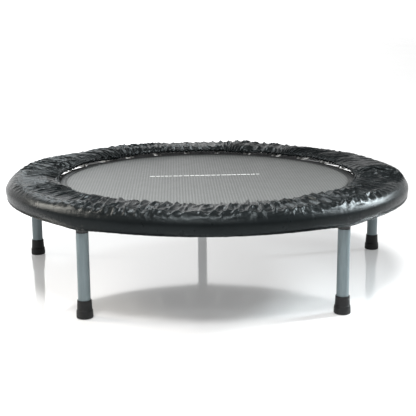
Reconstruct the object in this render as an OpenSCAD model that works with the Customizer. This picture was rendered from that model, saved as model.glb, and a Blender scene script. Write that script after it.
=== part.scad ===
/* [Frame] */
// Radius of the ring tube's centreline
ring_r = 444.5; // [442.5:0.5:446]
// Outer diameter of the ring tube
tube_od = 25.4; // [22:0.1:25.8]
// Wall thickness of the ring and leg tubes
tube_wall = 1.5; // [1:0.1:2.5]
// Height of the ring tube's centreline above the floor
ring_z = 207; // [190:1:230]

/* [Legs] */
// Length of the socket stub below the ring's centreline
stub_drop = 27.8; // [26:0.1:34]
// Thickness of the rubber washer between leg and socket
washer_t = 1.8; // [1:0.1:3]
// Radius of the leg stud
stud_r = 5; // [4:0.5:6]
// Radial clearance between stud and nut
stud_gap = 0.05; // [0.02:0.01:0.1]
// Greatest height of the leg stud above the leg tube's top
stud_up = 17; // [14:1:17]
// Total height of the rubber foot
foot_h = 38; // [30:1:45]

/* [Mat] */
// Radius of the woven mat
mat_r = 350; // [340:1:352]
// Height of the mat's top face above the ring's centreline
mat_rise = 8; // [5:0.5:9]
// Thickness of the woven mat
mat_t = 1.2; // [0.8:0.1:1.5]
// Width of the sewn edge band under the mat
band_w = 24; // [16:1:30]

/* [Springs] */
// Number of springs
spring_n = 30; // [20:5:30]
// Outer diameter of a spring coil
spring_od = 13; // [11:0.5:14]
// Spring wire diameter
wire_d = 2.4; // [2:0.1:2.5]
// Number of coils drawn on a spring
coil_n = 15; // [10:1:15]

/* [Pad] */
// Outer radius of the pad cover
pad_r = 464; // [462.5:0.5:466]
// Radius of the gathered opening in the pad
hem_r = 344.5; // [340:0.5:348]
// Height of the pad's top face above the ring's centreline
pad_rise = 24.5; // [24.4:0.1:27]
// Depth of the skirt's lower edge below the ring's centreline
skirt_drop = 17; // [10:1:24]
// Thickness of the cover fabric
cover_t = 1; // [0.8:0.1:1.2]
// Thickness of the foam ring
foam_t = 9.6; // [8:0.1:9.8]

/* [Hidden] */
$fn = 64;

leg_n = 5;
leg_step = 360 / leg_n;
spring_step = 360 / spring_n;
tube_r = tube_od / 2;
bore_r = tube_r - tube_wall;
saddle_drop = 4;
stub_z = ring_z - stub_drop;
nut_h = 12;
nut_r = bore_r;
gap = 0.2;
washer_top = stub_z - gap;
washer_bot = washer_top - washer_t;
leg_top = washer_bot - gap;
leg_bot = 5;
plug_h = 14;
stud_rise = min(stud_up, ring_z - tube_r - 0.3 - leg_top);
mat_z = ring_z + mat_rise;
pad_z = ring_z + pad_rise;
skirt_z = ring_z - skirt_drop;
spring_z = ring_z + 3;
coil_r = spring_od / 2;
ridge = 0.8;
wire_r = wire_d / 2;
eye_r = 4.2;
eye_rise = 2;
weld_in = 0.4;
eye_x = ring_r - tube_r - 5.5;
hook_r = 4.6;
hook_out = eye_x - eye_r + 2 * wire_r + 0.5 - hook_r;
vee_tip = 372;
vee_base = 357;
vee_half = 11;
tab_half = 7;
tab_len = 18;
tab_t = 1.6;
band_t = 2;
band_bot = mat_z - mat_t - band_t;
hook_in = vee_tip - wire_d - 0.3 - wire_r + hook_r;
coil_pitch = wire_d;
body_len = coil_n * coil_pitch;
body_mid = (hook_in + hook_out) / 2;
body_in = body_mid - body_len / 2;
shank = body_in - hook_in - hook_r;
slot_half = wire_r + 0.05;
edge_r = 10;
foam_in = 374;
foam_out = pad_r - edge_r;
foam_z = pad_z - cover_t - foam_t - 0.1;
liner_t = 0.7;
liner_z = foam_z - 0.1 - liner_t;
skirt_cord = 1.6;
skirt_hem = 2.4;
fold_bevel = 1;
hem_cord = 1.8;
hem_fold = 2.6;

// Places its children under the ring at leg socket k. Socket 1 is the back one.
module at_leg(k) {
    rotate([0, 0, 90 + (k - 1) * leg_step])
        translate([ring_r, 0, 0]) children();
}

// Repeats its children at every spring, half a step off the leg planes.
module at_springs() {
    for (i = [0:spring_n - 1])
        rotate([0, 0, 90 + (i + 0.5) * spring_step]) children();
}

module frame_ring() {
    color("#1b1d1f")
        translate([0, 0, ring_z])
            rotate_extrude($fn = 180)
                translate([ring_r, 0])
                    difference() {
                        circle(r = tube_r, $fn = 40);
                        circle(r = bore_r, $fn = 40);
                    }
}

// Five short tubes welded under the ring, each saddle-cut to fit it.
module leg_sockets() {
    color("#1b1d1f")
        difference() {
            for (k = [1:leg_n])
                at_leg(k)
                    translate([0, 0, stub_z])
                        difference() {
                            cylinder(r = tube_r, h = stub_drop - saddle_drop);
                            translate([0, 0, -1])
                                cylinder(r = bore_r, h = stub_drop);
                        }
            translate([0, 0, ring_z])
                rotate_extrude($fn = 180)
                    translate([ring_r, 0]) circle(r = tube_r + 0.02, $fn = 40);
        }
}

// Nuts pressed and welded into the socket mouths.
module weld_nuts() {
    color("silver")
        for (k = [1:leg_n])
            at_leg(k)
                translate([0, 0, stub_z])
                    difference() {
                        cylinder(r = nut_r, h = nut_h);
                        translate([0, 0, -1])
                            cylinder(r = stud_r + stud_gap, h = nut_h + 2);
                    }
}

// Wire loops welded to the ring's inner side, one for each spring.
module spring_eye() {
    translate([eye_x, 0, ring_z + eye_rise]) {
        rotate([0, 0, 90])
            rotate_extrude(angle = 180, $fn = 32)
                translate([eye_r, 0]) circle(r = wire_r, $fn = 16);
        for (s = [-1, 1])
            translate([0, s * eye_r, 0])
                rotate([0, 90, 0])
                    cylinder(r = wire_r, h = ring_r - tube_r + weld_in - eye_x, $fn = 16);
    }
}

module spring_eyes() {
    color("silver") at_springs() spring_eye();
}

module pad_foam() {
    color("dimgray")
        rotate_extrude($fn = 180)
            translate([foam_in, foam_z])
                square([foam_out - foam_in, foam_t]);
}

// Cord channel sewn round the opening, drawn as a full circle.
module hem_circle(r) {
    translate([hem_r + hem_fold, pad_z - hem_fold]) circle(r = r, $fn = 32);
}

// Cord channel sewn along the skirt's lower edge.
module skirt_circle(r) {
    translate([pad_r - skirt_hem, skirt_z + skirt_hem]) circle(r = r, $fn = 32);
}

// Top panel: flat sheet, the rounded edge over the foam, and the hem casing.
module cover_top() {
    color("#26292a")
        rotate_extrude($fn = 180)
            difference() {
                union() {
                    translate([hem_r + 4, pad_z - cover_t])
                        square([pad_r - edge_r - hem_r - 4, cover_t]);
                    translate([pad_r - edge_r, pad_z - edge_r])
                        difference() {
                            circle(r = edge_r);
                            circle(r = edge_r - cover_t);
                            translate([-2 * edge_r, -edge_r])
                                square([2 * edge_r, 2 * edge_r]);
                            translate([-edge_r, -2 * edge_r])
                                square([2 * edge_r, 2 * edge_r]);
                        }
                    hem_circle(hem_fold);
                }
                hem_circle(hem_cord);
            }
}

// Skirt panel: the band that hangs over the ring, its foot folded into a flat casing.
module cover_skirt() {
    fold = 2 * skirt_hem;
    color("#26292a")
        rotate_extrude($fn = 180)
            difference() {
                polygon([
                    [pad_r - fold, skirt_z + fold_bevel],
                    [pad_r - fold + fold_bevel, skirt_z],
                    [pad_r - fold_bevel, skirt_z],
                    [pad_r, skirt_z + fold_bevel],
                    [pad_r, pad_z - edge_r],
                    [pad_r - cover_t, pad_z - edge_r],
                    [pad_r - cover_t, skirt_z + fold],
                    [pad_r - fold + fold_bevel, skirt_z + fold],
                    [pad_r - fold, skirt_z + fold - fold_bevel],
                ]);
                skirt_circle(skirt_cord);
            }
}

// Lining under the foam, from the hem casing out over the ring.
module cover_liner() {
    color("#26292a")
        rotate_extrude($fn = 180)
            difference() {
                polygon([
                    [hem_r + 4, pad_z - 4],
                    [foam_in - 2, liner_z],
                    [ring_r + 4, liner_z],
                    [ring_r + 4, liner_z + liner_t],
                    [foam_in - 2, liner_z + liner_t],
                    [hem_r + 4, pad_z - 4 + liner_t],
                ]);
                hem_circle(hem_fold);
            }
}

module inner_elastic() {
    color("gainsboro") rotate_extrude($fn = 180) hem_circle(hem_cord - 0.02);
}

module outer_elastic() {
    color("gainsboro") rotate_extrude($fn = 180) skirt_circle(skirt_cord - 0.02);
}

// Outline of one spring about its own axis: ridged close-wound body with a
// short round shank at each end.
function spring_outline() = concat(
    [[0, -shank], [wire_r, -shank], [wire_r, 0], [coil_r - ridge, 0]],
    [for (i = [0:coil_n - 1], e = [0, 1])
        [coil_r - e * ridge, (i + (1 + e) / 2) * coil_pitch]],
    [[wire_r, body_len], [wire_r, body_len + shank], [0, body_len + shank]]);

module spring_body() {
    translate([body_in, 0, spring_z])
        rotate([0, 90, 0])
            rotate_extrude($fn = 28)
                difference() {
                    polygon(spring_outline());
                    translate([-1, wire_r])
                        square([coil_r - wire_d + 1, body_len - wire_d]);
                }
}

// End loop of a spring, standing in the vertical plane.
module spring_hook(x) {
    translate([x, 0, spring_z])
        rotate([90, 0, 0])
            rotate_extrude($fn = 28)
                translate([hook_r, 0]) circle(r = wire_r, $fn = 16);
}

module springs() {
    color("silver")
        at_springs() {
            spring_body();
            spring_hook(hook_in);
            spring_hook(hook_out);
        }
}

module mat() {
    color("#8d9392")
        translate([0, 0, mat_z - mat_t]) cylinder(r = mat_r, h = mat_t, $fn = 180);
}

// Webbing band sewn round the underside of the mat.
module mat_band() {
    color("#202223")
        translate([0, 0, band_bot])
            difference() {
                cylinder(r = mat_r, h = band_t, $fn = 180);
                translate([0, 0, -1]) cylinder(r = mat_r - band_w, h = 4, $fn = 180);
            }
}

// Folded webbing tabs that hold the V-rings to the mat's edge.
module ring_tabs() {
    color("#202223")
        at_springs()
            difference() {
                union() {
                    translate([mat_r + 0.5, -tab_half, spring_z - 2.4])
                        cube([vee_base - mat_r + 1.9, 2 * tab_half, 4.8]);
                    translate([mat_r - tab_len, -tab_half, band_bot - tab_t])
                        cube([tab_len + 1, 2 * tab_half, tab_t]);
                }
                translate([vee_base - slot_half, -vee_half, spring_z - slot_half])
                    cube([2 * slot_half, 2 * vee_half, 2 * slot_half]);
            }
}

// Triangular ring: its base runs through the tab and its tip takes the hook.
module v_ring() {
    base = vee_base - wire_r;
    translate([0, 0, spring_z - wire_r])
        linear_extrude(height = wire_d)
            difference() {
                polygon([
                    [base, -vee_half - wire_r], [base, vee_half + wire_r],
                    [vee_tip, 2], [vee_tip, -2],
                ]);
                polygon([
                    [base + wire_d, -vee_half + wire_r], [base + wire_d, vee_half - wire_r],
                    [vee_tip - wire_d, 1], [vee_tip - wire_d, -1],
                ]);
            }
}

module v_rings() {
    color("silver") at_springs() v_ring();
}

module lock_washer(k) {
    color("#1d1f20")
        at_leg(k)
            translate([0, 0, washer_bot])
                difference() {
                    cylinder(r = tube_r - 0.2, h = washer_t);
                    translate([0, 0, -1])
                        cylinder(r = stud_r + stud_gap, h = washer_t + 2);
                }
}

module leg_tube(k) {
    color("#8f999c")
        at_leg(k)
            translate([0, 0, leg_bot])
                difference() {
                    cylinder(r = tube_r, h = leg_top - leg_bot);
                    translate([0, 0, -1])
                        cylinder(r = bore_r, h = leg_top - leg_bot + 2);
                }
}

// Threaded insert pressed into the top of the leg tube.
module leg_plug(k) {
    color("silver")
        at_leg(k)
            translate([0, 0, leg_top - plug_h])
                difference() {
                    cylinder(r = bore_r, h = plug_h);
                    translate([0, 0, -1]) cylinder(r = stud_r, h = plug_h + 2);
                }
}

module leg_stud(k) {
    color("silver")
        at_leg(k) {
            translate([0, 0, leg_top - plug_h])
                cylinder(r = stud_r, h = plug_h + stud_rise - 1);
            translate([0, 0, leg_top + stud_rise - 1])
                cylinder(r1 = stud_r, r2 = stud_r - 1, h = 1);
        }
}

// Half section of the rubber foot: sleeve, groove, base ring and floor pad.
module foot_section() {
    difference() {
        union() {
            polygon([
                [0, 0], [15.2, 0], [17.25, 2], [17.25, 8], [16.6, 16],
                [15.9, 17], [15.2, 17.6], [14.9, 24], [14.3, foot_h - 1.2],
                [13.6, foot_h], [0, foot_h],
            ]);
        }
        translate([-1, leg_bot]) square([tube_r + 1, foot_h]);
    }
}

module foot(k) {
    color("#161718") at_leg(k) rotate_extrude() foot_section();
}

// Steel disc inside the foot that keeps the tube from cutting through the rubber.
module foot_washer(k) {
    color("silver")
        at_leg(k)
            translate([0, 0, leg_bot + 0.02]) cylinder(r = bore_r - 0.1, h = 1.6);
}

frame_ring();
leg_sockets();
weld_nuts();
spring_eyes();
pad_foam();
cover_top();
cover_skirt();
cover_liner();
inner_elastic();
outer_elastic();
springs();
mat();
mat_band();
ring_tabs();
v_rings();
lock_washer(1);  // lock_washer_1
lock_washer(2);  // lock_washer_2
lock_washer(3);  // lock_washer_3
lock_washer(4);  // lock_washer_4
lock_washer(5);  // lock_washer_5
leg_tube(1);  // leg_tube_1
leg_tube(2);  // leg_tube_2
leg_tube(3);  // leg_tube_3
leg_tube(4);  // leg_tube_4
leg_tube(5);  // leg_tube_5
leg_plug(1);  // leg_plug_1
leg_plug(2);  // leg_plug_2
leg_plug(3);  // leg_plug_3
leg_plug(4);  // leg_plug_4
leg_plug(5);  // leg_plug_5
leg_stud(1);  // leg_stud_1
leg_stud(2);  // leg_stud_2
leg_stud(3);  // leg_stud_3
leg_stud(4);  // leg_stud_4
leg_stud(5);  // leg_stud_5
foot(1);  // foot_1
foot(2);  // foot_2
foot(3);  // foot_3
foot(4);  // foot_4
foot(5);  // foot_5
foot_washer(1);  // foot_washer_1
foot_washer(2);  // foot_washer_2
foot_washer(3);  // foot_washer_3
foot_washer(4);  // foot_washer_4
foot_washer(5);  // foot_washer_5
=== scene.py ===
import math

import bpy
import numpy as np
from mathutils import Matrix, Vector


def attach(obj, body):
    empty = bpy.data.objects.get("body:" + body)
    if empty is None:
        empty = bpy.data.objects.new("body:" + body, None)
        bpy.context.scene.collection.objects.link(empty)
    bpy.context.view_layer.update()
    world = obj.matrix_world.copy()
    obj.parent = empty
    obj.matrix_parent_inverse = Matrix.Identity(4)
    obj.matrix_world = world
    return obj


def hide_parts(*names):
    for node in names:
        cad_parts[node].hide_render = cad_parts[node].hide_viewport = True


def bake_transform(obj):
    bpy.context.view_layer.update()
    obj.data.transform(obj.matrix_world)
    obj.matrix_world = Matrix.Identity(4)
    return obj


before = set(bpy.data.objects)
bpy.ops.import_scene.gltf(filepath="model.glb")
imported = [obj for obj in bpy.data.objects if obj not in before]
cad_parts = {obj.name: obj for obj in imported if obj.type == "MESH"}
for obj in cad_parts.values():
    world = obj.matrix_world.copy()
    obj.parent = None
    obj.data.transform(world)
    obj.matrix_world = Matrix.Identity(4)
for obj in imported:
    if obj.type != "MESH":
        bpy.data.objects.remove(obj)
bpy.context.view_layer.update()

# ---------------------------------------------------------------- sizes, metres
RING_R = 0.4445
TUBE_R = 0.0127
RING_Z = 0.207
PAD_R = 0.464
HEM_R = 0.3445
PAD_Z = 0.2315
SKIRT_Z = 0.190
MAT_R = 0.350
MAT_Z = 0.215
LEG_TOP = 0.177
WIRE = 0.0012
N_SPRING = 30
SPRING_Z = 0.210
VEE_BASE = 0.357
VEE_TIP = 0.372
VEE_HALF = 0.011
HOOK_R = 0.0046
HOOK_IN = 0.3727
HOOK_OUT = 0.4204
COIL_R = 0.0053
LEG_ANGLES = [math.radians(90 + 72 * k) for k in range(5)]
TAU = 2 * math.pi
SHEET_R1 = 0.4370  # where the top sheet meets the rounded edge of the cover
FOAM_R = 0.372  # the foam's inner edge, under the top sheet
HEM_DROOP = 0.0062  # how far the elastic pulls the opening's hem down
SKIRT_HEM_R = 0.4600
COVER_T, LINER_T, MAT_T = 0.0008, 0.0005, 0.0009
MAT_SAG = 0.0012  # how far the mat hangs at its middle
LINER_Z = 0.2203
UNROLL = 0.4  # radius at which ring-shaped cloth is unrolled for its weave
THREAD_PITCH, THREAD_DEPTH = 0.0015, 0.00085
STUD_R, STUD_TIP_R = 0.00497, 0.0039

# how finely the cover is divided: round it, across its top sheet, down its edge
NT, NR, NE = 1280, 42, 46
STEPS, QUICK_STEPS = 260, 70
GATHER, PLEATS = 0.27, 206
FOLD_HIGH, FOLD_LOW, FOLD_CAP = 0.0056, 0.0016, 0.0125


# ---------------------------------------------------------------- mesh helpers
def new_object(name, verts, faces, uv=None, smooth=True):
    mesh = bpy.data.meshes.new(name)
    mesh.from_pydata([tuple(v) for v in verts], [], faces)
    mesh.update()
    if smooth:
        mesh.polygons.foreach_set("use_smooth", [True] * len(mesh.polygons))
    if uv is not None:
        layer = mesh.uv_layers.new(name="UVMap")
        loops = np.empty(len(mesh.loops), dtype=np.int64)
        mesh.loops.foreach_get("vertex_index", loops)
        layer.data.foreach_set("uv", np.asarray(uv)[loops].ravel())
    obj = bpy.data.objects.new(name, mesh)
    bpy.context.scene.collection.objects.link(obj)
    return obj


def grid_faces(nu, nv, wrap_u, wrap_v, start=0):
    u = np.arange(nu if wrap_u else nu - 1)
    v = np.arange(nv if wrap_v else nv - 1)
    uu, vv = np.meshgrid(u, v, indexing="ij")
    u1, v1 = (uu + 1) % nu, (vv + 1) % nv
    quads = np.stack([uu * nv + vv, u1 * nv + vv, u1 * nv + v1, uu * nv + v1], -1)
    return (quads.reshape(-1, 4) + start).tolist()


def grid_object(name, points, wrap_u=True, wrap_v=False, uv=None):
    nu, nv = points.shape[:2]
    return new_object(
        name, points.reshape(-1, 3), grid_faces(nu, nv, wrap_u, wrap_v), uv
    )


def tube_points(path, radius, sides=8, closed=False):
    """Rings of a round tube along a path, with a frame carried along it."""
    path = np.asarray(path, dtype=float)
    n = len(path)
    if closed:
        tangent = np.roll(path, -1, 0) - np.roll(path, 1, 0)
    else:
        tangent = np.gradient(path, axis=0)
    tangent /= np.linalg.norm(tangent, axis=1)[:, None]
    side = np.cross(tangent[0], [0.0, 0.0, 1.0])
    if np.linalg.norm(side) < 1e-6:
        side = np.array([1.0, 0.0, 0.0])
    normals = np.empty((n, 3))
    for i in range(n):
        side = side - tangent[i] * side.dot(tangent[i])
        side /= np.linalg.norm(side)
        normals[i] = side
    other = np.cross(tangent, normals)
    angle = np.arange(sides) * TAU / sides
    radius = np.broadcast_to(radius, (n,))[:, None, None]
    ring = (
        np.cos(angle)[None, :, None] * normals[:, None, :]
        + np.sin(angle)[None, :, None] * other[:, None, :]
    )
    return path[:, None, :] + radius * ring


def tube_mesh(path, radius, sides=8, closed=False):
    points = tube_points(path, radius, sides, closed)
    n = len(points)
    faces = grid_faces(n, sides, closed, True)
    if not closed:
        faces.append(list(range(sides))[::-1])
        faces.append([(n - 1) * sides + k for k in range(sides)])
    return points.reshape(-1, 3), faces


def joined(parts):
    """One vertex and face list from several."""
    verts, faces, base = [], [], 0
    for v, f in parts:
        verts.append(np.asarray(v))
        faces += [[i + base for i in face] for face in f]
        base += len(v)
    return np.concatenate(verts), faces


def turned(points, angle):
    c, s = math.cos(angle), math.sin(angle)
    p = np.asarray(points)
    return np.stack(
        [p[..., 0] * c - p[..., 1] * s, p[..., 0] * s + p[..., 1] * c, p[..., 2]], -1
    )


def round_profile(points, passes=2):
    """Rounds the corners of an open profile by corner cutting; ends stay."""
    p = np.asarray(points, dtype=float)
    for _ in range(passes):
        a, b = p[:-1], p[1:]
        cut = np.empty((2 * len(a), 2))
        cut[0::2] = 0.75 * a + 0.25 * b
        cut[1::2] = 0.25 * a + 0.75 * b
        p = np.concatenate([p[:1], cut[1:-1], p[-1:]])
    return p


def resampled(profile, n):
    """The same open profile as n points, evenly spaced along it."""
    p = np.asarray(profile)
    s = np.concatenate([[0], np.cumsum(np.linalg.norm(np.diff(p, axis=0), axis=1))])
    t = np.linspace(0, s[-1], n)
    return np.stack([np.interp(t, s, p[:, 0]), np.interp(t, s, p[:, 1])], -1)


def spun(radius, height, th, x=0.0, y=0.0):
    """Points at radii and heights, a row for each angle round an upright axis."""
    px = x + radius * np.cos(th)[:, None]
    py = y + radius * np.sin(th)[:, None]
    return np.stack([px, py, np.broadcast_to(height, px.shape)], -1)


def thicken(obj, thickness, offset=0.0):
    """Gives a sheet its thickness; offset 1 puts it all on the outer side."""
    modifier = obj.modifiers.new("Thickness", "SOLIDIFY")
    modifier.thickness = thickness
    modifier.offset = offset


def noise_ring(rng, n, low, high):
    """A smooth periodic random curve with cycles from low to high, unit spread."""
    a = np.arange(n) * TAU / n
    out = np.zeros(n)
    for k in range(low, high + 1):
        out += rng.normal() * np.cos(k * a + rng.uniform(0, TAU))
    return out / max(1e-9, out.std())


def fold_field(rng, th, u, low, high, slant, waves=70):
    """Ridged folds over a ring-shaped sheet: sharp crests from 0 to 1, running mostly
    inward and outward, at a slant that varies."""
    out = np.zeros((len(th), len(u)))
    for _ in range(waves):
        k = int(rng.integers(low, high + 1))
        m = rng.normal() * slant
        out += rng.normal() * np.cos(
            k * th[:, None] + math.pi * m * u[None, :] + rng.uniform(0, TAU)
        )
    out /= out.std()
    return np.clip(1 - np.abs(out) / 1.3, 0, 1) ** 1.4


# ---------------------------------------------------------------- materials
class Look:
    """A node material with short calls for the nodes that the looks share."""

    def __init__(self, name, roughness=0.5, metallic=0.0):
        self.mat = bpy.data.materials.new(name)
        self.mat.use_nodes = True
        self.tree = self.mat.node_tree
        self.bsdf = self.tree.nodes["Principled BSDF"]
        self.bsdf.inputs["Roughness"].default_value = roughness
        self.bsdf.inputs["Metallic"].default_value = metallic
        self.coord = self.tree.nodes.new("ShaderNodeTexCoord")

    def link(self, a, b):
        self.tree.links.new(a, b)

    def mapped(self, scale=(1, 1, 1), source="Object"):
        node = self.tree.nodes.new("ShaderNodeMapping")
        node.inputs["Scale"].default_value = scale
        self.link(self.coord.outputs[source], node.inputs["Vector"])
        return node.outputs["Vector"]

    def noise(self, scale, detail=3.0, rough=0.55, vector=None):
        node = self.tree.nodes.new("ShaderNodeTexNoise")
        node.inputs["Scale"].default_value = scale
        node.inputs["Detail"].default_value = detail
        node.inputs["Roughness"].default_value = rough
        self.link(vector or self.coord.outputs["Object"], node.inputs["Vector"])
        return node.outputs["Fac"]

    def wave(self, scale, direction="X", distortion=0.0, vector=None):
        node = self.tree.nodes.new("ShaderNodeTexWave")
        node.bands_direction = direction
        node.inputs["Scale"].default_value = scale
        node.inputs["Distortion"].default_value = distortion
        node.inputs["Detail"].default_value = 1.0
        self.link(vector or self.coord.outputs["Object"], node.inputs["Vector"])
        return node.outputs["Fac"]

    def voronoi(self, scale, vector=None):
        node = self.tree.nodes.new("ShaderNodeTexVoronoi")
        node.inputs["Scale"].default_value = scale
        self.link(vector or self.coord.outputs["Object"], node.inputs["Vector"])
        return node.outputs["Distance"]

    def math(self, op, a, b=0.5):
        node = self.tree.nodes.new("ShaderNodeMath")
        node.operation = op
        for socket, value in zip(node.inputs, (a, b), strict=False):
            if isinstance(value, (int, float)):
                socket.default_value = value
            else:
                self.link(value, socket)
        return node.outputs[0]

    def ramp(self, fac, *stops):
        node = self.tree.nodes.new("ShaderNodeValToRGB")
        ramp = node.color_ramp
        while len(ramp.elements) < len(stops):
            ramp.elements.new(0.5)
        for element, (pos, colour) in zip(ramp.elements, stops, strict=True):
            element.position = pos
            element.color = (*colour, 1.0) if len(colour) == 3 else (colour[0],) * 3 + (1.0,)
        self.link(fac, node.inputs["Fac"])
        return node.outputs["Color"]

    def mix(self, fac, a, b):
        node = self.tree.nodes.new("ShaderNodeMix")
        node.data_type = "RGBA"
        for socket, value in ((node.inputs[0], fac), (node.inputs[6], a), (node.inputs[7], b)):
            if isinstance(value, tuple):
                socket.default_value = (*value, 1.0)
            elif isinstance(value, (int, float)):
                socket.default_value = value
            else:
                self.link(value, socket)
        return node.outputs[2]

    def colour(self, value):
        self.link(value, self.bsdf.inputs["Base Color"])

    def rough(self, fac, low, high):
        node = self.tree.nodes.new("ShaderNodeMapRange")
        node.inputs["To Min"].default_value = low
        node.inputs["To Max"].default_value = high
        self.link(fac, node.inputs["Value"])
        self.link(node.outputs["Result"], self.bsdf.inputs["Roughness"])

    def bump(self, height, distance, strength=1.0):
        node = self.tree.nodes.new("ShaderNodeBump")
        node.inputs["Distance"].default_value = distance
        node.inputs["Strength"].default_value = strength
        self.link(height, node.inputs["Height"])
        previous = self.bsdf.inputs["Normal"].links
        if previous:
            self.link(previous[0].from_socket, node.inputs["Normal"])
        self.link(node.outputs["Normal"], self.bsdf.inputs["Normal"])


def cover_look():
    look = Look("cover_fabric")
    uv = look.mapped(source="UV")
    mottling = look.noise(14, 4)
    tint = look.ramp(
        mottling, (0.3, (0.0040, 0.0052, 0.0056)), (0.7, (0.0075, 0.0095, 0.0102))
    )
    warp = look.wave(420, "X", vector=uv)
    weft = look.wave(420, "Y", vector=uv)
    weave = look.math("MULTIPLY", warp, weft)
    fine = look.noise(900, 2, vector=uv)
    threads = look.ramp(
        weave, (0.0, (0.0045, 0.0058, 0.0062)), (1.0, (0.0115, 0.0140, 0.0148))
    )
    look.colour(look.mix(0.35, tint, threads))
    look.rough(look.noise(60, 3), 0.24, 0.34)
    look.bump(weave, 0.00012, 0.4)
    look.bump(fine, 0.00010, 0.3)
    crinkle = look.noise(120, 3, vector=look.mapped((1.0, 0.35, 1), "UV"))
    look.bump(crinkle, 0.0010, 0.6)
    look.bsdf.inputs["Sheen Weight"].default_value = 0.02
    look.bsdf.inputs["Sheen Roughness"].default_value = 0.35
    look.bsdf.inputs["Specular IOR Level"].default_value = 0.17
    look.bsdf.inputs["Specular Tint"].default_value = (0.86, 0.97, 1.0, 1.0)
    return look.mat


def mat_look():
    look = Look("mat_weave", 0.45)
    warp = look.wave(48, "X", distortion=0.6)
    weft = look.wave(160, "Y", distortion=0.3)
    twill = look.wave(70, "DIAGONAL", distortion=0.4)
    fine = look.wave(240, "X")
    weave = look.math(
        "ADD", look.math("MULTIPLY", warp, 0.55), look.math("MULTIPLY", weft, 0.25)
    )
    weave = look.math("ADD", weave, look.math("MULTIPLY", twill, 0.2))
    cloth = look.ramp(
        weave, (0.15, (0.022, 0.024, 0.023)), (0.85, (0.130, 0.136, 0.131))
    )
    wear = look.noise(5.5, 4)
    cloth = look.mix(look.math("MULTIPLY", wear, 0.30), cloth, (0.085, 0.088, 0.085))
    # the mat goes near black from 0.321 m out from its middle: partly its dark sewn binding,
    # partly painted shade from the cover that overhangs it
    flat = look.tree.nodes.new("ShaderNodeVectorMath")
    flat.operation = "LENGTH"
    look.link(look.mapped((1, 1, 0)), flat.inputs[0])
    rim = look.ramp(flat.outputs["Value"], (0.321, (0.0,)), (0.333, (1.0,)))
    look.colour(look.mix(rim, cloth, (0.012, 0.013, 0.013)))
    look.bsdf.inputs["Specular IOR Level"].default_value = 0.75
    look.rough(look.noise(40, 3), 0.34, 0.44)
    look.bump(weave, 0.0005, 0.6)
    look.bump(fine, 0.0002, 0.35)
    look.bsdf.inputs["Sheen Weight"].default_value = 0.04
    look.bsdf.inputs["Sheen Roughness"].default_value = 0.35
    return look.mat


def paint_look(name, light, dark, rough=(0.28, 0.40)):
    look = Look(name)
    streaks = look.noise(30, 4, vector=look.mapped((6, 6, 0.6)))
    base = look.ramp(streaks, (0.3, dark), (0.7, light))
    specks = look.noise(900, 2)
    chips = look.ramp(look.noise(210, 5, 0.7), (0.0, (0.0,)), (0.715, (0.0,)), (0.75, (1.0,)))
    look.colour(look.mix(chips, base, tuple(c * 0.55 for c in dark)))
    look.rough(look.noise(120, 3), *rough)
    look.bump(specks, 0.00006, 0.5)
    look.bump(look.noise(55, 2), 0.0004, 0.25)
    look.bsdf.inputs["Coat Weight"].default_value = 0.25
    look.bsdf.inputs["Coat Roughness"].default_value = 0.2
    return look.mat


def zinc_look():
    look = Look("zinc_plate", 0.3, 1.0)
    spangle = look.voronoi(260)
    stain = look.noise(70, 4)
    look.colour(
        look.mix(
            look.ramp(stain, (0.35, (0.0,)), (0.8, (0.6,))),
            look.ramp(spangle, (0.0, (0.40, 0.41, 0.40)), (0.8, (0.58, 0.58, 0.56))),
            (0.26, 0.25, 0.23),
        )
    )
    look.rough(look.noise(300, 3), 0.22, 0.42)
    look.bump(look.noise(1200, 2), 0.00005, 0.5)
    return look.mat


def rubber_look():
    look = Look("black_rubber")
    dust = look.noise(45, 5, 0.65)
    look.colour(
        look.ramp(dust, (0.35, (0.007, 0.0075, 0.008)), (0.75, (0.015, 0.015, 0.0155)))
    )
    look.rough(look.noise(140, 3), 0.42, 0.62)
    look.bump(look.noise(1500, 3), 0.0001, 0.6)
    look.bump(look.voronoi(700), 0.00008, 0.4)
    look.bsdf.inputs["Specular IOR Level"].default_value = 0.3
    return look.mat


def webbing_look():
    look = Look("webbing")
    ribs = look.math("MULTIPLY", look.wave(330, "X"), look.wave(330, "Y"))
    look.colour(look.ramp(ribs, (0.0, (0.008, 0.008, 0.009)), (1.0, (0.035, 0.036, 0.038))))
    look.rough(look.noise(200, 3), 0.6, 0.8)
    look.bump(ribs, 0.0004, 0.8)
    return look.mat


def elastic_look():
    look = Look("elastic")
    ribs = look.wave(500, "X")
    look.colour(look.ramp(ribs, (0.0, (0.40, 0.40, 0.38)), (1.0, (0.72, 0.72, 0.69))))
    look.rough(look.noise(200, 3), 0.6, 0.8)
    look.bump(ribs, 0.0003, 0.7)
    return look.mat


def foam_look():
    look = Look("foam")
    cells = look.voronoi(480)
    look.colour(look.ramp(cells, (0.0, (0.05, 0.052, 0.055)), (0.7, (0.14, 0.145, 0.15))))
    look.rough(look.noise(100, 3), 0.8, 0.95)
    look.bump(cells, 0.0008, 0.9)
    return look.mat


def thread_look(name, light, dark):
    look = Look(name)
    twist = look.wave(900, "DIAGONAL")
    look.colour(look.ramp(twist, (0.0, dark), (1.0, light)))
    look.rough(look.noise(300, 2), 0.55, 0.75)
    look.bump(twist, 0.0001, 0.6)
    return look.mat


def floor_look():
    """A pale glossy sweep with a little light of its own, like a light table."""
    look = Look("floor")
    tone = look.noise(1.2, 3)
    look.colour(look.ramp(tone, (0.3, (0.80, 0.80, 0.80)), (0.7, (0.83, 0.83, 0.83))))
    look.rough(look.noise(3, 2), 0.05, 0.09)
    look.bsdf.inputs["IOR"].default_value = 3.3
    look.bsdf.inputs["Emission Color"].default_value = (1, 1, 1, 1)
    look.bsdf.inputs["Emission Strength"].default_value = 0.22
    return look.mat


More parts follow.
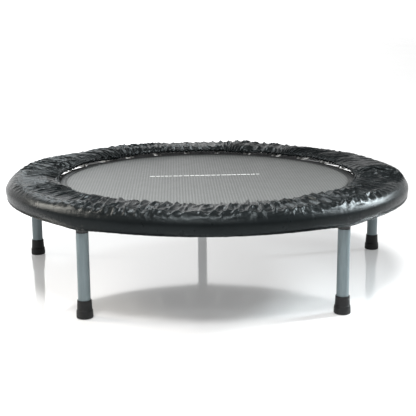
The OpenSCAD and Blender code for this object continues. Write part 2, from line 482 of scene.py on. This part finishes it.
COVER = cover_look()
MAT = mat_look()
LEG_PAINT = paint_look("leg_paint", (0.165, 0.212, 0.226), (0.122, 0.162, 0.174))
BLACK_PAINT = paint_look("socket_paint", (0.016, 0.017, 0.018), (0.009, 0.010, 0.011), (0.35, 0.5))
ZINC = zinc_look()
RUBBER = rubber_look()
WEBBING = webbing_look()
ELASTIC = elastic_look()
FOAM = foam_look()
THREAD = thread_look("dark_thread", (0.05, 0.05, 0.05), (0.01, 0.01, 0.01))
PRINT = thread_look("pale_print", (0.80, 0.81, 0.80), (0.62, 0.63, 0.62))


def dress(obj, material, body=None):
    obj.data.materials.clear()
    obj.data.materials.append(material)
    if body:
        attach(obj, body)
    return obj


# ---------------------------------------------------------------- the cover
def stretch(a, b, wa, wb, length, push, pull):
    """Moves that bring two sets of points to their distance apart."""
    d = b - a
    n = np.sqrt((d * d).sum(-1)) + 1e-12
    c = (n - length) / n
    c = np.where(n < length, c * push, c * pull)
    total = wa + wb
    move = np.where(total > 0, c / np.maximum(total, 1e-9), 0)[..., None] * d
    return move * wa[..., None], move * wb[..., None]


def gathered_sheet(nt, nr, steps, r0, r1, z0, gather, pleats, seed):
    """The top sheet of the cover, longer at its inner edge than the opening is round,
    drawn in there by the elastic and let settle over the foam: a cloth simulation on
    a ring-shaped grid, by position constraints."""
    rng = np.random.default_rng(seed)
    th = np.arange(nt) * TAU / nt
    u = np.linspace(0, 1, nr)
    r = r0 + (r1 - r0) * u
    # how much longer than its circle each row of cloth is, uneven round the ring
    uneven = 1 + 0.30 * noise_ring(rng, nt, 2, 9)
    uneven = np.clip(uneven, 0.35, 1.7)
    slack = gather * uneven[:, None] * ((1 - u) ** 1.05)[None, :]
    lt = (TAU / nt) * r[None, :] * (1 + slack)
    lr = (r1 - r0) / (nr - 1) * 1.004
    phase = pleats * th + 1.2 * noise_ring(rng, nt, 3, 26)
    amp = np.clip(1 + 0.34 * noise_ring(rng, nt, 6, 60), 0.35, 1.9)
    depth = 2 * math.sqrt(gather) * r0 / pleats * 0.92
    hem_z = depth * amp * np.sin(phase) + 0.0011 * noise_ring(rng, nt, 4, 15)
    hem_dr = 0.0016 * amp * np.cos(phase + 0.6) + 0.0009 * noise_ring(rng, nt, 6, 30)
    decay = np.exp(-u * 5)
    hump = 0.0026 * np.abs(noise_ring(rng, nt, 14, 44))
    hump = hump + 0.0012 * np.abs(noise_ring(rng, nt, 30, 90))
    skew = 0.030 * noise_ring(rng, nt, 2, 14)
    p = np.zeros((nt, nr, 3))
    angle = th[:, None] + skew[:, None] * ((1 - u) ** 1.2)[None, :]
    rr = r[None, :] + hem_dr[:, None] * decay[None, :]
    p[..., 0] = rr * np.cos(angle)
    p[..., 1] = rr * np.sin(angle)
    p[..., 2] = (
        z0 + 0.0005 + hem_z[:, None] * decay + hump[:, None] * np.sin(math.pi * u)
    )
    p[..., 2] -= HEM_DROOP * np.exp(-u * 9)[None, :]
    held = p.copy()
    prev = p.copy()
    w = np.ones((nt, nr))
    w[:, 0] = 0
    w[:, -2:] = 0
    # the foam's top is a little uneven too, and stops short of the opening
    foam = z0 + 0.0006 * noise_ring(rng, nt, 3, 40)[:, None] * np.sin(math.pi * u)
    rest = np.where(r[None, :] > FOAM_R, foam, z0 - 0.008)
    diagonal = np.sqrt(lr**2 + (0.5 * (lt[:, 1:] + lt[:, :-1])) ** 2)
    idx = np.arange(nt)
    for _ in range(steps):
        v = (p - prev) * 0.90
        prev = p.copy()
        p = p + v * w[..., None]
        p[..., 2] -= 2.0e-6 * w
        for _ in range(2):
            for c in (0, 1):
                a = idx[c::2]
                b = (a + 1) % nt
                da, db = stretch(p[a], p[b], w[a], w[b], lt[a], 0.9, 1.0)
                p[a] += da
                p[b] -= db
            for c in (0, 1):
                j = np.arange(c, nr - 1, 2)
                da, db = stretch(p[:, j], p[:, j + 1], w[:, j], w[:, j + 1], lr, 0.8, 1.0)
                p[:, j] += da
                p[:, j + 1] -= db
            for s in (1, -1):
                b = (idx + s) % nt
                for c in (0, 1):
                    j = np.arange(c, nr - 1, 2)
                    far = p[b][:, j + 1]
                    da, db = stretch(
                        p[:, j], far, w[:, j], w[b][:, j + 1], diagonal[:, j], 0.25, 0.25
                    )
                    p[:, j] += da * 0.5
                    p[np.ix_(b, j + 1)] -= db * 0.5
        for c in range(4):
            a = idx[c::4]
            b = (a + 2) % nt
            da, db = stretch(p[a], p[b], w[a], w[b], 2 * lt[a], 0.06, 0.0)
            p[a] += da
            p[b] -= db
            j = np.arange(c, nr - 2, 4)
            da, db = stretch(p[:, j], p[:, j + 2], w[:, j], w[:, j + 2], 2 * lr, 0.18, 0.0)
            p[:, j] += da
            p[:, j + 2] -= db
        p[..., 2] = np.maximum(p[..., 2], rest)
        p[:, 0] = held[:, 0]
        p[:, -2:] = held[:, -2:]
    return p


def edge_profile(n):
    """Outer edge of the cover, from the top sheet round and down to the skirt's
    lower hem: points (radius, height)."""
    rough = [
        (SHEET_R1, PAD_Z - 0.0006),
        (0.4470, PAD_Z - 0.0018),
        (0.4556, PAD_Z - 0.0070),
        (0.4610, PAD_Z - 0.0148),
        (0.4638, 0.2110),
        (0.4636, 0.2030),
        (0.4619, 0.1950),
        (0.4598, 0.1906),
    ]
    return resampled(round_profile(rough, 3), n)


def near_legs(th, width):
    """1 at each leg's angle, falling to 0 either side."""
    out = np.zeros_like(th)
    for a in LEG_ANGLES:
        d = np.angle(np.exp(1j * (th - a)))
        out += np.exp(-((d / width) ** 2))
    return out


def hem_dip(th):
    """How far the skirt's lower hem hangs down, most of all at each leg."""
    return 0.0042 * (near_legs(th, 0.085) * 0.7 + near_legs(th, 0.19) * 0.3)


def make_cover():
    steps = STEPS
    top = gathered_sheet(
        NT, NR, steps, HEM_R + 0.0018, SHEET_R1, PAD_Z - 0.0006, GATHER, PLEATS, 7
    )
    rng = np.random.default_rng(21)
    th = np.arange(NT) * TAU / NT
    prof = edge_profile(NE)[1:]
    s = np.linspace(0, 1, NE)[1:]
    low = noise_ring(rng, NT, 3, 18)
    fine = noise_ring(rng, NT, 30, 90)
    # wrinkles run a little way over the shoulder, and the lower hem dips at each leg
    shoulder = np.exp(-(((s - 0.10) / 0.16) ** 2))
    dr = -0.0009 * np.abs(fine)[:, None] * shoulder[None, :]
    dr = dr + 0.0006 * low[:, None] * np.sin(math.pi * s)[None, :]
    dz = -hem_dip(th)[:, None] * (s**3)[None, :]
    dz = dz + 0.0008 * low[:, None] * (s**2)[None, :]
    edge = spun(prof[None, :, 0] + dr, prof[None, :, 1] + dz, th)
    points = np.concatenate([top, edge], 1)
    n = points.shape[1]
    v = np.linspace(0, 1, n)
    broad = fold_field(rng, th, v, 34, 80, 3.8)
    small = fold_field(rng, th, v, 90, 180, 3.5)
    patch = np.clip(0.75 + 0.35 * noise_ring(rng, NT, 2, 12), 0.25, 1.35)[:, None]
    # fades in from the hem and out over the shoulder
    grow = np.clip(v / 0.10, 0, 1) * np.clip((0.69 - v) / 0.17, 0, 1) ** 0.8
    lift = patch * grow[None, :] * (FOLD_HIGH * broad + FOLD_LOW * small)
    points[..., 2] += lift
    points[:, : NR - 4, 2] = np.minimum(points[:, : NR - 4, 2], PAD_Z + FOLD_CAP)
    run = np.concatenate(
        [
            np.zeros((NT, 1)),
            np.cumsum(np.linalg.norm(np.diff(points, axis=1), axis=2), axis=1),
        ],
        1,
    )
    uv = np.stack([np.broadcast_to((th * UNROLL)[:, None], (NT, n)), run], -1)
    cover = grid_object("cover", points, uv=uv.reshape(-1, 2))
    thicken(cover, COVER_T, 1.0)
    return cover, top


cover, top_sheet = make_cover()
dress(cover, COVER, "frame")
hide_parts("cover_top", "cover_skirt")


def make_casing():
    """The sewn casing round the opening, scrunched tight on its elastic."""
    rng = np.random.default_rng(33)
    n = 1800
    hem = top_sheet[:, 0]
    th = np.arange(NT) * TAU / NT
    fine_th = np.arange(n) * TAU / n
    centre = np.stack(
        [np.interp(fine_th, th, hem[:, k], period=TAU) for k in range(3)], -1
    )
    centre[:, 2] -= 0.0012
    scrunch = 1 + 0.16 * noise_ring(rng, n, 220, 420) + 0.08 * noise_ring(rng, n, 60, 140)
    radius = 0.0026 * np.clip(scrunch, 0.55, 1.5)
    points = tube_points(centre, radius, 12, closed=True)
    verts, faces = points.reshape(-1, 3), grid_faces(n, 12, True, True)
    uu = np.broadcast_to((fine_th * UNROLL)[:, None], (n, 12))
    vv = np.broadcast_to(np.arange(12)[None, :] * 0.0014, (n, 12))
    obj = new_object("hem_casing", verts, faces, np.stack([uu, vv], -1).reshape(-1, 2))
    core, core_faces = tube_mesh(centre[::3], 0.0013, 6, closed=True)
    elastic = new_object("hem_elastic", core, core_faces)
    return obj, elastic


casing, elastic = make_casing()
dress(casing, COVER, "frame")
dress(elastic, ELASTIC, "frame")
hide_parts("inner_elastic")


def make_lower_hem():
    """The rolled hem at the skirt's lower edge, over the outer elastic."""
    rng = np.random.default_rng(35)
    n = 1200
    th = np.arange(n) * TAU / n
    r = SKIRT_HEM_R + 0.0001 * noise_ring(rng, n, 90, 220)
    z = SKIRT_Z + 0.0006 - hem_dip(th) + 0.0001 * noise_ring(rng, n, 40, 120)
    centre = np.stack([r * np.cos(th), r * np.sin(th), z], -1)
    radius = 0.0019 * (1 + 0.03 * noise_ring(rng, n, 180, 320))
    points = tube_points(centre, radius, 10, closed=True)
    uu = np.broadcast_to((th * 0.46)[:, None], (n, 10))
    vv = np.broadcast_to(np.arange(10)[None, :] * 0.0012, (n, 10))
    obj = new_object(
        "skirt_hem",
        points.reshape(-1, 3),
        grid_faces(n, 10, True, True),
        np.stack([uu, vv], -1).reshape(-1, 2),
    )
    core, core_faces = tube_mesh(centre[::3], 0.0010, 6, closed=True)
    return obj, new_object("skirt_elastic", core, core_faces)


skirt_hem, skirt_elastic = make_lower_hem()
dress(skirt_hem, COVER, "frame")
dress(skirt_elastic, ELASTIC, "frame")
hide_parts("outer_elastic")


def make_liner():
    """The cover's underside, from the opening under the foam to the ring."""
    rng = np.random.default_rng(41)
    n, m = 600, 22
    th = np.arange(n) * TAU / n
    rough = [
        (HEM_R + 0.0035, PAD_Z - 0.0040),
        (0.3560, 0.2238),
        (0.3720, LINER_Z),
        (0.4100, LINER_Z),
        (0.4480, LINER_Z),
    ]
    prof = resampled(round_profile(rough, 3), m)
    u = np.linspace(0, 1, m)
    pleat = noise_ring(rng, n, 50, 110)[:, None] * (np.exp(-u * 6) * 0.0011)[None, :]
    sag = -np.abs(noise_ring(rng, n, 8, 40))[:, None] * (
        0.0007 * np.sin(math.pi * np.clip(u * 1.3, 0, 1))
    )
    points = spun(prof[None, :, 0], prof[None, :, 1] + pleat + sag, th)
    uu = np.broadcast_to((th * UNROLL)[:, None], (n, m))
    vv = np.broadcast_to(prof[None, :, 0], (n, m))
    obj = grid_object("liner_sheet", points, uv=np.stack([uu, vv], -1).reshape(-1, 2))
    thicken(obj, LINER_T)
    return obj


liner = make_liner()
dress(liner, COVER, "frame")
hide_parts("cover_liner")


def make_foam():
    """The foam ring, cut from four strips with butted ends."""
    parts = []
    n, gap = 110, 0.004
    prof = round_profile(
        [
            (0.376, 0.2210),
            (0.3745, 0.2225),
            (0.3745, 0.2285),
            (0.3765, 0.2300),
            (0.4150, 0.2302),
            (0.4380, 0.2298),
            (0.4480, 0.2272),
            (0.4525, 0.2235),
            (0.4515, 0.2210),
            (0.4150, 0.2209),
            (0.376, 0.2210),
        ],
        1,
    )[:-1]
    m = len(prof)
    for k in range(4):
        th = k * TAU / 4 + 0.3 + np.linspace(gap, TAU / 4 - gap, n)
        points = spun(prof[None, :, 0], prof[None, :, 1], th)
        faces = grid_faces(n, m, False, True)
        faces.append(list(range(m)))
        faces.append([(n - 1) * m + i for i in range(m)][::-1])
        parts.append((points.reshape(-1, 3), faces))
    return new_object("pad_foam_ring", *joined(parts))


foam = make_foam()
dress(foam, FOAM, "frame")
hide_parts("pad_foam")


# ---------------------------------------------------------------- the mat
def make_mat():
    """The woven mat, its edge drawn out at the tabs and hollow between them."""
    n = 720
    th = np.arange(n) * TAU / n
    phase = (th - math.radians(90) - 0.5 * TAU / N_SPRING) * N_SPRING
    radii = np.concatenate([np.linspace(0.02, 0.32, 16), np.linspace(0.326, MAT_R, 9)])
    scallop = -0.0016 * (1 - np.cos(phase)) / 2
    u = np.clip((radii - 0.32) / (MAT_R - 0.32), 0, 1) ** 2
    rr = radii[None, :] + scallop[:, None] * u[None, :]
    sag = -MAT_SAG * (1 - (radii / MAT_R) ** 2)
    rim = 0.0003 * (np.cos(phase))[:, None] * u[None, :]
    points = spun(rr, MAT_Z - 0.0004 + sag[None, :] + rim, th)
    verts = points.reshape(-1, 3)
    faces = grid_faces(n, len(radii), True, False)
    m = len(radii)
    verts = np.concatenate([verts, [[0, 0, MAT_Z - 0.0016]]])
    faces += [[i * m, ((i + 1) % n) * m, len(verts) - 1][::-1] for i in range(n)]
    obj = new_object("jumping_mat", verts, faces)
    thicken(obj, MAT_T)
    return obj


mat = make_mat()
dress(mat, MAT, "mat_body")
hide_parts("mat")


def stitch_ring(name, radius, count, length, z, thickness=0.00045):
    """A row of stitches round the mat, each a short raised thread."""
    parts = []
    base = np.linspace(-0.5, 0.5, 5)
    for i in range(count):
        a = i * TAU / count
        t = a + base * length / radius
        lift = np.cos(base * math.pi) * thickness * 0.8
        path = np.stack([radius * np.cos(t), radius * np.sin(t), z + lift], -1)
        parts.append(tube_mesh(path, thickness, 5))
    obj = new_object(name, *joined(parts))
    dress(obj, THREAD, "mat_body")
    return obj


for row, radius in enumerate((0.3275, 0.3300, 0.3440)):
    sag = -MAT_SAG * (1 - (radius / MAT_R) ** 2)
    stitch_ring(f"mat_stitches_{row}", radius, 520, 0.0031, MAT_Z + 0.0001 + sag)


def make_stripe():
    """A plain printed line of dashes across the mat."""
    rng = np.random.default_rng(5)
    parts = []
    x, end = -0.135, 0.126
    y0, slope, half_height, nx = 0.038, 0.052, 0.0040, 5
    while x < end:
        w = rng.uniform(0.006, 0.013)
        g = rng.uniform(0.0015, 0.0035)
        xs = np.linspace(x, x + w, nx)
        y = y0 + slope * xs
        z = MAT_Z + 0.0003 - MAT_SAG * (1 - (np.hypot(xs, y) / MAT_R) ** 2)
        low = np.stack([xs, y - half_height, z], -1)
        high = np.stack([xs, y + half_height, z], -1)
        verts = np.stack([low, high], 1).reshape(-1, 3)
        parts.append((verts, grid_faces(nx, 2, False, False)))
        x += w + g
    return new_object("mat_stripe", *joined(parts))


stripe = make_stripe()
dress(stripe, PRINT, "mat_body")


def spring_angles():
    return [math.radians(90) + (i + 0.5) * TAU / N_SPRING for i in range(N_SPRING)]


def make_tabs():
    """Webbing tabs folded round the V-rings and sewn under the band."""
    out = round_profile(
        [
            (0.3330, 0.2114),
            (0.3500, 0.2114),
            (0.3555, 0.2124),
            (0.3590, 0.2113),
            (0.3596, 0.2088),
            (0.3575, 0.2068),
            (0.3540, 0.2076),
            (0.3500, 0.2096),
            (0.3330, 0.2099),
        ],
        2,
    )
    parts, seams = [], []
    half = 0.0072
    ny = 7
    ys = np.linspace(-half, half, ny)
    thick = 0.0011
    d = np.gradient(out, axis=0)
    nrm = np.stack([-d[:, 1], d[:, 0]], -1) / np.linalg.norm(d, axis=1)[:, None]
    inner = out + nrm * thick
    loop = np.concatenate([out, inner[::-1]])
    m = len(loop)
    for a in spring_angles():
        p = np.zeros((ny, m, 3))
        p[..., 0] = loop[None, :, 0]
        p[..., 1] = ys[:, None]
        p[..., 2] = loop[None, :, 1]
        faces = grid_faces(ny, m, False, True)
        faces.append(list(range(m)))
        faces.append([(ny - 1) * m + i for i in range(m)][::-1])
        parts.append((turned(p.reshape(-1, 3), a), faces))
        for y in (-0.0048, 0.0048):
            for x in np.arange(0.3345, 0.3500, 0.0030):
                path = np.array(
                    [[x, y, 0.2084], [x + 0.0011, y, 0.2081], [x + 0.0022, y, 0.2084]]
                )
                seams.append(tube_mesh(turned(path, a), 0.0004, 5))
    return new_object("ring_loops", *joined(parts)), new_object(
        "tab_stitches", *joined(seams)
    )


tabs, tab_seams = make_tabs()
dress(tabs, WEBBING, "mat_body")
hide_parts("ring_tabs")
dress(tab_seams, PRINT, "mat_body")


def make_vees():
    """Triangular rings of bent round wire."""
    parts = []
    tip, base, half = VEE_TIP - WIRE, VEE_BASE, VEE_HALF
    corners = np.array([[base, -half], [base, half], [tip, 1.1e-3], [tip, -1.1e-3]])
    loop = []
    n = len(corners)
    for i in range(n):
        a, b, c = corners[i - 1], corners[i], corners[(i + 1) % n]
        size = 0.0022 if i < 2 else 0.0009
        p = b + (a - b) / np.linalg.norm(a - b) * size
        q = b + (c - b) / np.linalg.norm(c - b) * size
        for t in np.linspace(0, 1, 5):
            loop.append((1 - t) ** 2 * p + 2 * t * (1 - t) * b + t**2 * q)
    loop = np.array(loop)
    path = np.column_stack([loop, np.full(len(loop), SPRING_Z)])
    for a in spring_angles():
        parts.append(tube_mesh(turned(path, a), WIRE, 8, closed=True))
    return new_object("vee_rings", *joined(parts))


vees = make_vees()
dress(vees, ZINC, "mat_body")
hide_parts("v_rings")


def make_spring(k, angle):
    """A close-wound spring with a loop at each end, about the X axis, then turned."""
    turns, per = 14, 12
    body0, body1 = HOOK_IN + HOOK_R + 0.0016, HOOK_OUT - HOOK_R - 0.0016
    t = np.linspace(0, 1, turns * per + 1)
    a = t * turns * TAU
    coil = np.stack(
        [body0 + (body1 - body0) * t, COIL_R * np.sin(a), SPRING_Z + COIL_R * np.cos(a)],
        -1,
    )

    def loop(centre, side):
        s = np.linspace(0, 1, 16)
        b = math.pi / 2 + 0.35 + s * (TAU - 0.95)
        x = centre + side * -HOOK_R * np.cos(b - math.pi / 2)
        z = SPRING_Z + HOOK_R * np.sin(b - math.pi / 2)
        return np.stack([x, np.zeros_like(x), z], -1)

    inner = loop(HOOK_IN, 1)
    outer = loop(HOOK_OUT, -1)
    start = np.array([[HOOK_IN + HOOK_R + 0.0004, 0.0010, SPRING_Z + 0.0034]])
    stop = np.array([[HOOK_OUT - HOOK_R - 0.0004, -0.0010, SPRING_Z + 0.0034]])
    path = np.concatenate([inner[::-1], start, coil, stop, outer])
    verts, faces = tube_mesh(turned(path, angle), WIRE * 0.98, 6)
    obj = new_object(f"spring_{k + 1:02d}", verts, faces)
    dress(obj, ZINC)
    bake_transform(obj)
    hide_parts("springs")


for k, angle in enumerate(spring_angles()):
    make_spring(k, angle)


# ---------------------------------------------------------------- legs
FOOT_OUTLINE = [
    (0.0002, 0.0012),
    (0.0090, 0.0012),
    (0.0096, 0.0000),
    (0.0150, 0.0000),
    (0.0172, 0.0012),
    (0.01725, 0.0050),
    (0.0170, 0.0110),
    (0.0167, 0.0156),
    (0.0160, 0.0170),
    (0.0152, 0.0172),
    (0.0151, 0.0182),
    (0.0154, 0.0190),
    (0.0151, 0.0260),
    (0.0146, 0.0355),
    (0.0144, 0.0376),
    (0.0134, 0.0380),
    (0.0128, 0.0376),
    (0.0128, 0.0340),
]


def make_foot(k, x, y):
    prof = round_profile(FOOT_OUTLINE, 2)
    n = 96
    th = np.arange(n) * TAU / n
    p = spun(prof[None, :, 0], prof[None, :, 1], th, x, y)
    # shallow upright grip flutes on the sleeve
    z = prof[:, 1]
    flute = np.exp(-(((z - 0.0275) / 0.0065) ** 4)) * 0.00022
    outer = np.arange(len(prof)) > len(prof) * 0.25
    wave = (np.cos(th * 16) * 0.5 - 0.5)[:, None] * (flute * outer)[None, :]
    p[..., 0] += wave * np.cos(th)[:, None]
    p[..., 1] += wave * np.sin(th)[:, None]
    obj = grid_object(f"rubber_foot_{k}", p)
    dress(obj, RUBBER, f"leg_{k}")
    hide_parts(f"foot_{k}")


def make_stud(k, x, y):
    """The M10 stud with its thread cut as one helix."""
    low, high = LEG_TOP - 0.014, LEG_TOP + 0.017
    n, m = 32, 160
    z = np.linspace(low, high, m)
    th = np.arange(n) * TAU / n
    saw = (z[None, :] / THREAD_PITCH - th[:, None] / TAU) % 1.0
    cut = THREAD_DEPTH * (1 - np.abs(2 * saw - 1))
    r = np.minimum(STUD_R - cut, STUD_TIP_R + (high - z)[None, :])
    p = spun(r, z[None, :], th, x, y)
    faces = grid_faces(n, m, True, False)
    faces.append([i * m for i in range(n)][::-1])
    faces.append([i * m + m - 1 for i in range(n)])
    obj = new_object(f"threaded_stud_{k}", p.reshape(-1, 3), faces)
    dress(obj, ZINC, f"leg_{k}")
    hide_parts(f"leg_stud_{k}")


for k, a in enumerate(LEG_ANGLES, 1):
    x, y = RING_R * math.cos(a), RING_R * math.sin(a)
    make_foot(k, x, y)
    make_stud(k, x, y)


def make_welds():
    """A weld bead round each socket where it meets the ring."""
    rng = np.random.default_rng(51)
    parts = []
    n = 96
    for a in LEG_ANGLES:
        t = np.arange(n) * TAU / n
        radial, along = TUBE_R * np.cos(t), TUBE_R * np.sin(t)
        drop = np.sqrt(np.maximum(TUBE_R**2 - radial**2, 0.0042**2))
        p = np.stack([RING_R + radial * 1.02, along * 1.02, RING_Z - drop], -1)
        ripple = 0.0011 * (1 + 0.18 * noise_ring(rng, n, 20, 34))
        parts.append(tube_mesh(turned(p, a), ripple, 8, closed=True))
    return new_object("weld_beads", *joined(parts))


welds = make_welds()
dress(welds, BLACK_PAINT, "frame")

# ---------------------------------------------------------------- kept CAD pieces
KEPT = {
    "frame_ring": BLACK_PAINT,
    "leg_sockets": BLACK_PAINT,
    "weld_nuts": ZINC,
    "spring_eyes": ZINC,
    "mat_band": WEBBING,
}
for k in range(1, 6):
    KEPT[f"lock_washer_{k}"] = RUBBER
    KEPT[f"leg_tube_{k}"] = LEG_PAINT
    KEPT[f"leg_plug_{k}"] = ZINC
    KEPT[f"foot_washer_{k}"] = ZINC
for name, material in KEPT.items():
    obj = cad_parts[name]
    for slot in obj.material_slots:
        slot.material = material

# ---------------------------------------------------------------- floor and light
floor = new_object(
    "floor",
    [(-30, -30, -0.0004), (30, -30, -0.0004), (30, 30, -0.0004), (-30, 30, -0.0004)],
    [[0, 1, 2, 3]],
    smooth=False,
)
floor.data.materials.append(floor_look())

world = bpy.data.worlds.new("studio")
bpy.context.scene.world = world
world.use_nodes = True
sky = world.node_tree
direction = sky.nodes.new("ShaderNodeTexCoord")
split = sky.nodes.new("ShaderNodeSeparateXYZ")
sky.links.new(direction.outputs["Generated"], split.inputs["Vector"])


def sky_fade(axis, start, end, low, high):
    """A smooth change of strength along one axis of the direction looked in."""
    node = sky.nodes.new("ShaderNodeMapRange")
    node.interpolation_type = "SMOOTHSTEP"
    for socket, value in zip(
        ("From Min", "From Max", "To Min", "To Max"), (start, end, low, high), strict=True
    ):
        node.inputs[socket].default_value = value
    sky.links.new(split.outputs[axis], node.inputs["Value"])
    return node.outputs["Result"]


def sky_math(op, a, b):
    node = sky.nodes.new("ShaderNodeMath")
    node.operation = op
    for socket, value in zip(node.inputs, (a, b), strict=False):
        if isinstance(value, (int, float)):
            socket.default_value = value
        else:
            sky.links.new(value, socket)
    return node.outputs[0]


# a bright backdrop behind the object, up to about 22 degrees and lit more from the left,
# a thin bright band all round the horizon, and dim studio elsewhere
BACKDROP, HORIZON, STUDIO = 1.35, 0.85, 0.24
below = sky_fade("Z", 0.30, 0.40, 1.0, 0.0)
ahead = sky_fade("Y", 0.70, 0.90, 0.0, 1.0)
leftward = sky_fade("X", -0.10, 0.26, 1.0, 0.30)
behind = sky_math("MULTIPLY", sky_math("MULTIPLY", below, ahead), leftward)
thin = sky_fade("Z", 0.02, 0.06, HORIZON, 0.0)
glow = sky_math("MAXIMUM", sky_math("MULTIPLY", behind, BACKDROP), thin)
sky.links.new(sky_math("ADD", glow, STUDIO), sky.nodes["Background"].inputs["Strength"])
sky.nodes["Background"].inputs["Color"].default_value = (1, 1, 1, 1)


def area_light(name, place, target, size, power, colour=(1, 1, 1), spread=180):
    data = bpy.data.lights.new(name, "AREA")
    data.shape = "RECTANGLE"
    data.size, data.size_y = size
    data.energy = power
    data.color = colour
    data.spread = math.radians(spread)
    obj = bpy.data.objects.new(name, data)
    obj.location = place
    aim = Vector(target) - Vector(place)
    obj.rotation_euler = aim.to_track_quat("-Z", "Y").to_euler()
    bpy.context.scene.collection.objects.link(obj)


def sun_light(name, direction, strength, angle):
    data = bpy.data.lights.new(name, "SUN")
    data.energy = strength
    data.angle = math.radians(angle)
    obj = bpy.data.objects.new(name, data)
    obj.rotation_euler = Vector(direction).to_track_quat("-Z", "Y").to_euler()
    bpy.context.scene.collection.objects.link(obj)


sun_light("overhead", (0.05, 0.30, -1.0), 3.0, 18)
COOL, WARM = (0.90, 0.97, 1.0), (1.0, 0.93, 0.84)
area_light("back", (-1.1, 2.6, 2.6), (-0.1, 0, 0.22), (1.1, 0.7), 34, COOL)
# narrow side lights, each aimed at the cover's front shoulder for its highlight
area_light("right", (2.1, 0.35, 1.45), (0.20, -0.42, 0.22), (0.5, 0.7), 3.4, COOL, 26)
area_light("left", (-2.1, 0.35, 1.45), (-0.24, -0.40, 0.22), (0.5, 0.7), 1.5, WARM, 30)
bpy.context.scene.view_settings.view_transform = "Standard"

# ---------------------------------------------------------------- camera
DISTANCE, HEIGHT = 4.7598 * PAD_R, 1.371 * PAD_R
SENSOR, PHOTO_PX = 36.0, 416
PITCH, YAW, ROLL, TURN = 0.2199, 0.0006, -0.0062, 0.0341
FOCAL_PX = 956.7
fwd = Vector(
    (math.sin(YAW) * math.cos(PITCH), math.cos(YAW) * math.cos(PITCH), -math.sin(PITCH))
)
right = Vector((math.cos(YAW), -math.sin(YAW), 0))
up = right.cross(fwd)
r2 = right * math.cos(ROLL) + up * math.sin(ROLL)
u2 = -right * math.sin(ROLL) + up * math.cos(ROLL)
turn = Matrix.Rotation(-TURN, 3, "Z")
axes = Matrix((turn @ r2, turn @ u2, turn @ -fwd)).transposed()
camera_data = bpy.data.cameras.new("camera")
camera_data.sensor_width = SENSOR
camera_data.sensor_fit = "HORIZONTAL"
camera_data.lens = FOCAL_PX / PHOTO_PX * SENSOR
camera_data.clip_end = 100
camera = bpy.data.objects.new("camera", camera_data)
place = Matrix.Translation(turn @ Vector((0, -DISTANCE, HEIGHT)))
camera.matrix_world = place @ axes.to_4x4()
bpy.context.scene.collection.objects.link(camera)
bpy.context.scene.camera = camera

bpy.context.view_layer.update()
